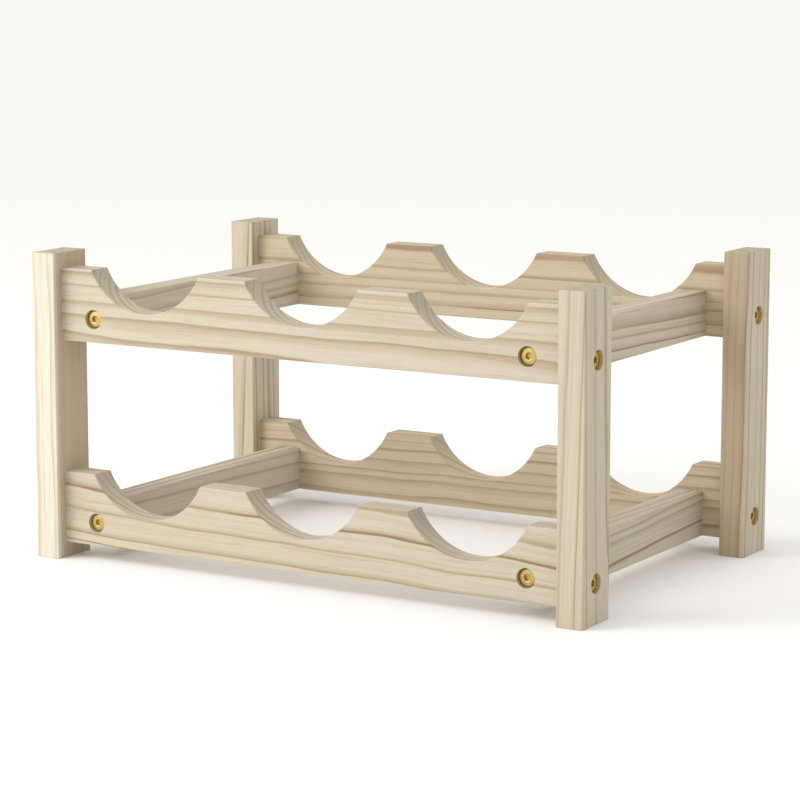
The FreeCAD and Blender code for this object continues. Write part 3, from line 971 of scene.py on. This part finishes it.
    def _socketed(self, recipe: Recipe, body: Wire, size: dict[str, Wire], sides: Wire) -> Wire:
        """Cut the hex socket and its round lead-in.

        Each cutter is turned a little, so that none of its edges meets an edge of the screw.

        Args:
            recipe: Tree that the screw is made in.
            body: The turned screw.
            size: The tree's named lengths in metres.
            sides: Number of faces round the lead-in.

        Returns:
            The cut mesh.
        """
        reach = size["head_height"]
        across = size["socket_width"] / math.sqrt(3)
        floor, mouth = size["mouth_floor"] * 0.5, size["mouth_diameter"] * 0.5
        flare = (mouth - floor) * (size["mouth_depth"] + reach) / size["mouth_depth"]
        cutters = (
            (size["mouth_depth"], sides, floor, floor + flare, MOUTH_TURN),
            (size["socket_depth"], 6, across, across, SOCKET_TURN),
        )
        for depth, count, low, high, turn in cutters:
            shape = {"Vertices": count, "Radius_Bottom": low, "Radius_Top": high, "Depth": depth + reach}
            cone = recipe.node("GeometryNodeMeshCone", {}, **shape)
            spin = (0.0, 0.0, math.radians(turn))
            place = recipe.join(0.0, 0.0, size["head_height"] - depth)
            cutter = recipe.node(
                "GeometryNodeTransform", {}, Geometry=cone, Translation=place, Rotation=spin
            )
            settings = {"operation": "DIFFERENCE", "solver": "EXACT"}
            body = recipe.node("GeometryNodeMeshBoolean", settings, Mesh_1=body, Mesh_2=cutter)
        return body

    def _smoothed(self, recipe: Recipe, screw: Wire) -> Wire:
        """Shade the screw smooth, except along its sharp edges.

        Args:
            recipe: Tree that the screw is made in.
            screw: The cut screw.

        Returns:
            The same mesh, with its shading set.
        """
        angle = recipe.node("GeometryNodeInputMeshEdgeAngle", {})
        soft = recipe.node("FunctionNodeCompare", {"operation": "LESS_THAN"}, angle, math.radians(28))
        for domain, smooth in (("FACE", True), ("EDGE", soft)):
            settings = {"domain": domain}
            screw = recipe.node(
                "GeometryNodeSetShadeSmooth", settings, Geometry=screw, Shade_Smooth=smooth
            )
        return screw

    def _placed(self, recipe: Recipe, screw: Wire, seed: Wire) -> Wire:
        """Put one screw on each seat, each with its socket at its own angle.

        Args:
            recipe: Tree that the screws are made in.
            screw: The finished screw.
            seed: Picks the angles.

        Returns:
            The screws as instances.
        """
        settings = {"data_type": "FLOAT_VECTOR"}
        facing = recipe.node("GeometryNodeInputNamedAttribute", settings, "facing")
        aligned = recipe.node("FunctionNodeAlignRotationToVector", {"axis": "Z"}, Vector=facing)
        angle = recipe.node("FunctionNodeRandomValue", {"data_type": "FLOAT"}, 0.0, math.tau, Seed=seed)
        spin = recipe.node("FunctionNodeAxisAngleToRotation", {}, (0.0, 0.0, 1.0), angle)
        turned = recipe.node("FunctionNodeRotateRotation", {"rotation_space": "LOCAL"}, aligned, spin)
        return recipe.node(
            "GeometryNodeInstanceOnPoints", {}, Points=recipe.seats(), Instance=screw, Rotation=turned
        )


@dataclass
class Studio:
    """Pale floor, soft light and camera."""

    floor_reach: float = 60.0
    floor_colour: Colour = (0.94, 0.938, 0.932)
    sky: float = 0.94
    key_power: float = 12.8
    key_size: float = 1.1
    key_place: tuple[float, float, float] = (-0.98, -1.12, 0.86)
    sun_strength: float = 0.38
    sun_softness: float = 40.0
    sun_azimuth: float = -38.0
    sun_elevation: float = 42.0
    aim: tuple[float, float, float] = (-0.01003, 0.01290, 0.09903)
    distance: float = 1.90482
    azimuth: float = 30.737
    elevation: float = 9.300
    lens: float = 130.18

    def build(self) -> None:
        """Make the floor, the lights, the world and the camera."""
        self._floor()
        self._world()
        self._key()
        self._sun()
        self._camera()
        bpy.context.scene.view_settings.view_transform = "Standard"
        LOG.info("studio: floor, sky, key light, sun and camera")

    def _direction(self, azimuth: float, elevation: float) -> Vector:
        """Return the way from the rack towards an azimuth and an elevation in degrees."""
        a, e = math.radians(azimuth), math.radians(elevation)
        return Vector((math.sin(a) * math.cos(e), -math.cos(a) * math.cos(e), math.sin(e)))

    def _floor(self) -> None:
        """Lay the floor under the rack."""
        mesh = bpy.data.meshes.new("floor")
        reach = self.floor_reach
        corners = [(-reach, -reach, 0), (reach, -reach, 0), (reach, reach, 0), (-reach, reach, 0)]
        mesh.from_pydata(corners, [], [(0, 1, 2, 3)])
        floor = bpy.data.objects.new("floor", mesh)
        bpy.context.scene.collection.objects.link(floor)
        graph = Graph("pale_paper")
        cloud = graph.noise(graph.place(), 3.0, 2.0)
        colour = graph.blend(cloud * 0.3, self.floor_colour, tuple(0.97 * c for c in self.floor_colour))
        mesh.materials.append(graph.surface(Base_Color=colour, Roughness=0.95, Specular_IOR_Level=0.1))

    def _world(self) -> None:
        """Light everything evenly from a pale sky."""
        world = bpy.data.worlds.new("pale_sky")
        world.use_nodes = True
        background = world.node_tree.nodes["Background"]
        background.inputs["Color"].default_value = (1.0, 0.985, 0.96, 1.0)
        background.inputs["Strength"].default_value = self.sky
        bpy.context.scene.world = world

    def _key(self) -> None:
        """Hang a large soft light in front, on the left."""
        light = bpy.data.lights.new("key", "AREA")
        light.shape = "DISK"
        light.size = self.key_size
        light.energy = self.key_power
        light.color = (1.0, 0.985, 0.955)
        key = bpy.data.objects.new("key", light)
        key.location = self.key_place
        way = Vector(self.aim) - key.location
        key.rotation_mode = "QUATERNION"
        key.rotation_quaternion = way.to_track_quat("-Z", "Y")
        bpy.context.scene.collection.objects.link(key)

    def _sun(self) -> None:
        """Add a wide soft light from far away."""
        light = bpy.data.lights.new("sun", "SUN")
        light.energy = self.sun_strength
        light.angle = math.radians(self.sun_softness)
        light.color = (1.0, 0.985, 0.955)
        sun = bpy.data.objects.new("sun", light)
        sun.rotation_mode = "QUATERNION"
        towards = self._direction(self.sun_azimuth, self.sun_elevation)
        sun.rotation_quaternion = towards.to_track_quat("Z", "Y")
        bpy.context.scene.collection.objects.link(sun)

    def _camera(self) -> None:
        """Aim the camera at the rack."""
        data = bpy.data.cameras.new("camera")
        data.lens = self.lens
        data.sensor_width = 36.0
        data.clip_end = 200.0
        camera = bpy.data.objects.new("camera", data)
        back = self._direction(self.azimuth, self.elevation)
        camera.location = Vector(self.aim) + back * self.distance
        camera.rotation_mode = "QUATERNION"
        camera.rotation_quaternion = (-back).to_track_quat("-Z", "Y")
        bpy.context.scene.collection.objects.link(camera)
        bpy.context.scene.camera = camera


def main() -> None:
    """Dress the frame, add the screws and set the studio."""
    logging.basicConfig(level=logging.INFO, format="%(name)s %(message)s")
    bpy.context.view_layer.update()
    Boards().dress()
    Dowels().dress()
    brass = Brass().material()
    for joint in Joint:
        HexScrews(joint, brass).build()
    Studio().build()


if __name__ == "__main__":
    main()
